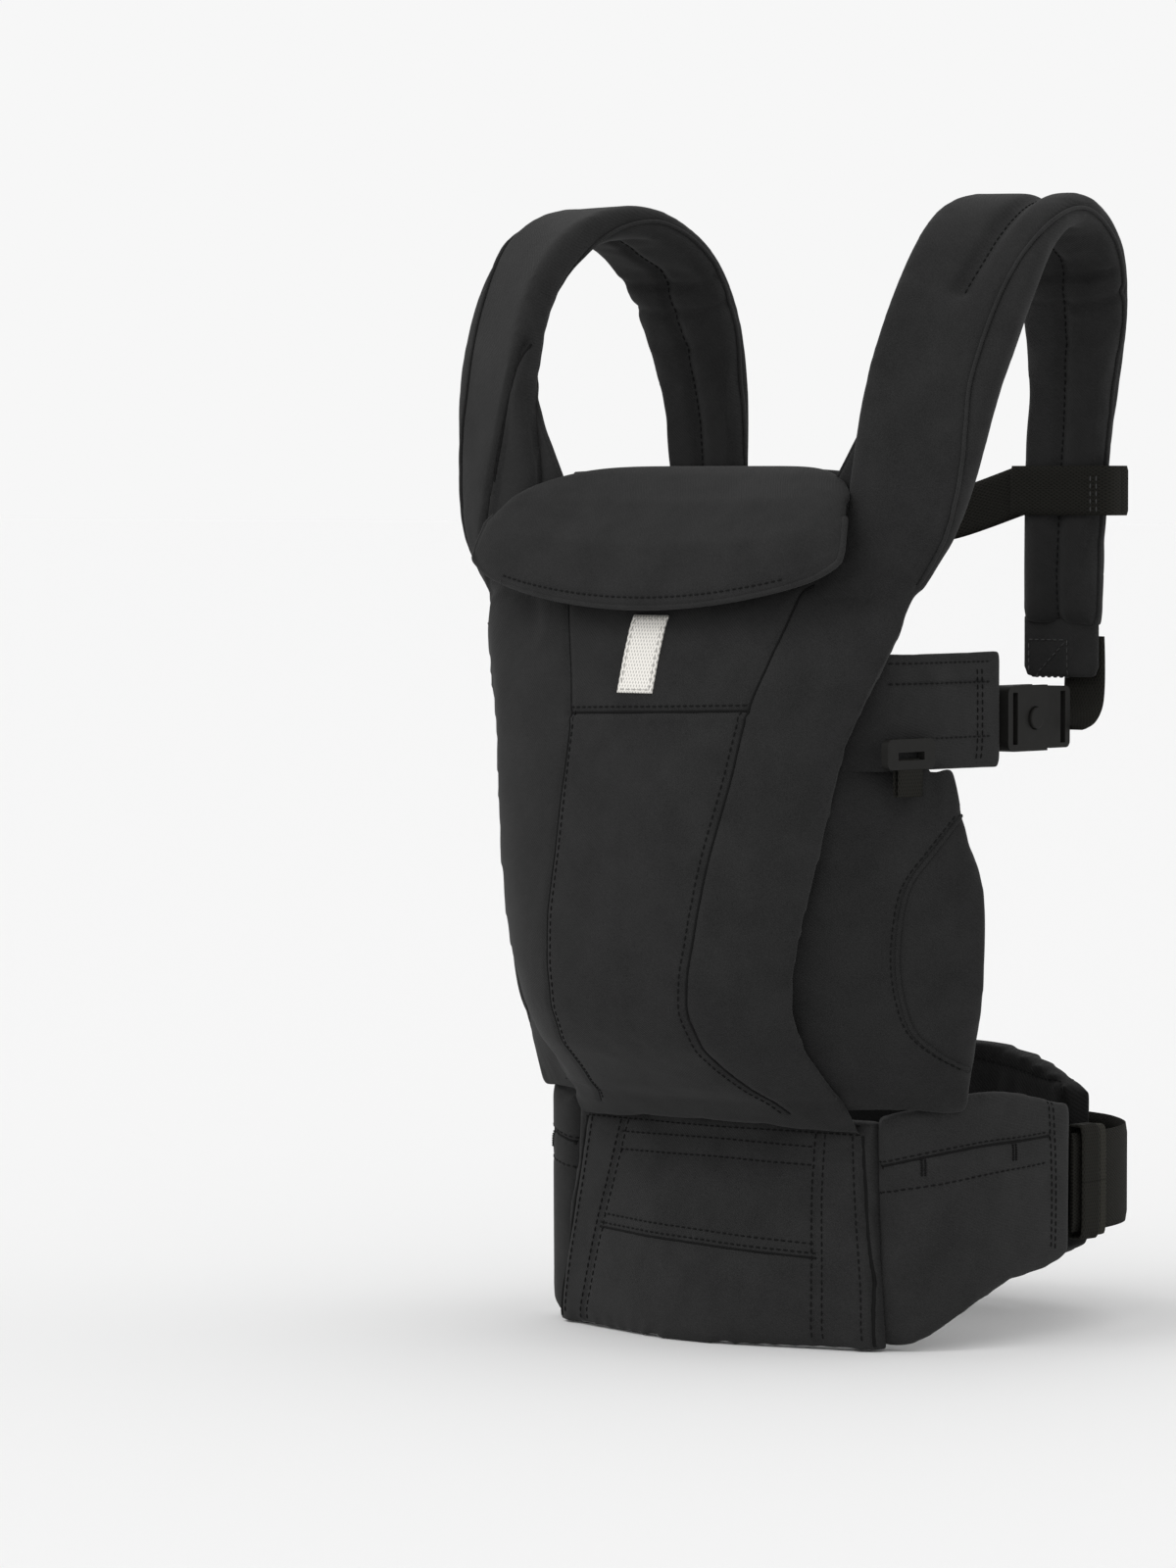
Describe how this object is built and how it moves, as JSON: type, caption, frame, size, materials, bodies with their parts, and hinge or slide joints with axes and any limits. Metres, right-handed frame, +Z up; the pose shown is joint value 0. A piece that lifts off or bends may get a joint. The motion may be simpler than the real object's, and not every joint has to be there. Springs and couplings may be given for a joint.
{
  "type": "soft baby carrier",
  "caption": "Soft front-carry baby carrier: padded waist belt, curved body, thigh panels, folded head support, two padded shoulder straps, chest strap and side-release buckles.",
  "frame": {"origin": "on the floor, in the middle of the footprint box of the whole carrier", "axes": "+Z up along the height, -Y towards the front, X across; left is -X as seen from the front"},
  "size_m": [0.3562, 0.3241, 0.5738],
  "materials": {
    "cloth": "matte twill",
    "panel_cloth": "matte twill",
    "lining": "matte mesh",
    "webbing": "woven webbing",
    "plastic": "satin",
    "label": "woven label"
  },
  "bodies": {
    "carrier": {"belt_front_panel": "cloth", "belt_top_binding": "cloth", "belt_wing_left": "cloth", "belt_wing_right": "cloth", "body_centre_panel": "cloth", "body_side_panel_left": "cloth", "body_side_panel_right": "cloth", "label_patch": "label", "neck_collar": "cloth", "seat_tab_left": "webbing", "seat_tab_right": "webbing", "shoulder_buckle_female_left": "plastic", "shoulder_buckle_female_right": "plastic", "shoulder_strap_left": "cloth", "shoulder_strap_right": "cloth", "side_band_left": "cloth", "side_band_right": "cloth", "strap_end_tab_left": "cloth", "strap_end_tab_right": "cloth", "strap_webbing_left": "webbing", "strap_webbing_right": "webbing", "thigh_cushion_left": "panel_cloth", "thigh_cushion_right": "panel_cloth", "thigh_panel_left": "panel_cloth", "thigh_panel_right": "panel_cloth", "waist_buckle_female": "plastic", "waist_web_keeper_left": "webbing", "waist_web_keeper_right": "webbing", "waist_webbing_left": "webbing", "waist_webbing_right": "webbing"},
    "chest_strap": {"chest_loop_left": "webbing", "chest_loop_right": "webbing", "chest_webbing_left": "webbing", "chest_webbing_right": "webbing", "chest_buckle_female": "plastic"},
    "chest_male": {"chest_buckle_male": "plastic"},
    "chest_latch_up": {"chest_latch_upper": "plastic"},
    "chest_latch_low": {"chest_latch_lower": "plastic"},
    "waist_male": {"waist_buckle_male": "plastic"},
    "waist_latch_up": {"waist_latch_upper": "plastic"},
    "waist_latch_low": {"waist_latch_lower": "plastic"},
    "head_support": {"head_support_panel": "cloth", "head_support_corner_left": "cloth", "head_support_corner_right": "cloth"},
    "lumbar": {"lumbar_pad": "lining"},
    "shoulder_male_left": {"shoulder_buckle_male_left": "plastic"},
    "thumb_left": {"shoulder_thumb_button_left": "plastic"},
    "slider_left": {"seat_slider_left": "plastic"},
    "shoulder_male_right": {"shoulder_buckle_male_right": "plastic"},
    "thumb_right": {"shoulder_thumb_button_right": "plastic"},
    "slider_right": {"seat_slider_right": "plastic"}
  },
  "joints": [
    {"name": "head_support_fold", "type": "hinge", "parent": "carrier", "child": "head_support", "pos_m": [0, -0.071, 0.437], "axis": [-1, 0, 0], "range_deg": [0, 150], "deforming": ["head_support_corner_left", "head_support_corner_right"]},
    {"name": "chest_strap_height", "type": "slide", "parent": "carrier", "child": "chest_strap", "axis": [0, 0, 1], "range_m": [-0.03, 0.024]},
    {"name": "chest_buckle_pull", "type": "slide", "parent": "chest_strap", "child": "chest_male", "axis": [1, 0, 0], "range_m": [0, 0.024], "deforming": ["chest_webbing_right"]},
    {"name": "chest_latch_up_press", "type": "slide", "parent": "chest_male", "child": "chest_latch_up", "axis": [0, 0, -1], "range_m": [0, 0.002], "stiffness_N_per_m": 500},
    {"name": "chest_latch_low_press", "type": "slide", "parent": "chest_male", "child": "chest_latch_low", "axis": [0, 0, 1], "range_m": [0, 0.002], "stiffness_N_per_m": 500},
    {"name": "waist_buckle_pull", "type": "slide", "parent": "carrier", "child": "waist_male", "axis": [1, 0, 0], "range_m": [0, 0.032], "deforming": ["waist_webbing_right"]},
    {"name": "waist_latch_up_press", "type": "slide", "parent": "waist_male", "child": "waist_latch_up", "axis": [0, 0, -1], "range_m": [0, 0.002], "stiffness_N_per_m": 500},
    {"name": "waist_latch_low_press", "type": "slide", "parent": "waist_male", "child": "waist_latch_low", "axis": [0, 0, 1], "range_m": [0, 0.002], "stiffness_N_per_m": 500},
    {"name": "lumbar_pad_shift", "type": "slide", "parent": "carrier", "child": "lumbar", "axis": [1, 0, 0], "range_m": [-0.01, 0.01]},
    {"name": "shoulder_buckle_pull_left", "type": "slide", "parent": "carrier", "child": "shoulder_male_left", "axis": [0, 1, 0], "range_m": [0, 0.023], "deforming": ["strap_webbing_left"]},
    {"name": "thumb_button_press_left", "type": "slide", "parent": "carrier", "child": "thumb_left", "axis": [1, 0, 0], "range_m": [0, 0.0014], "stiffness_N_per_m": 500},
    {"name": "seat_slider_shift_left", "type": "slide", "parent": "carrier", "child": "slider_left", "axis": [0, 1, 0], "range_m": [-0.01, 0.025], "deforming": ["seat_tab_left"]},
    {"name": "shoulder_buckle_pull_right", "type": "slide", "parent": "carrier", "child": "shoulder_male_right", "axis": [0, 1, 0], "range_m": [0, 0.023], "deforming": ["strap_webbing_right"]},
    {"name": "thumb_button_press_right", "type": "slide", "parent": "carrier", "child": "thumb_right", "axis": [-1, 0, 0], "range_m": [0, 0.0014], "stiffness_N_per_m": 500},
    {"name": "seat_slider_shift_right", "type": "slide", "parent": "carrier", "child": "slider_right", "axis": [0, 1, 0], "range_m": [-0.01, 0.025], "deforming": ["seat_tab_right"]}
  ]
}
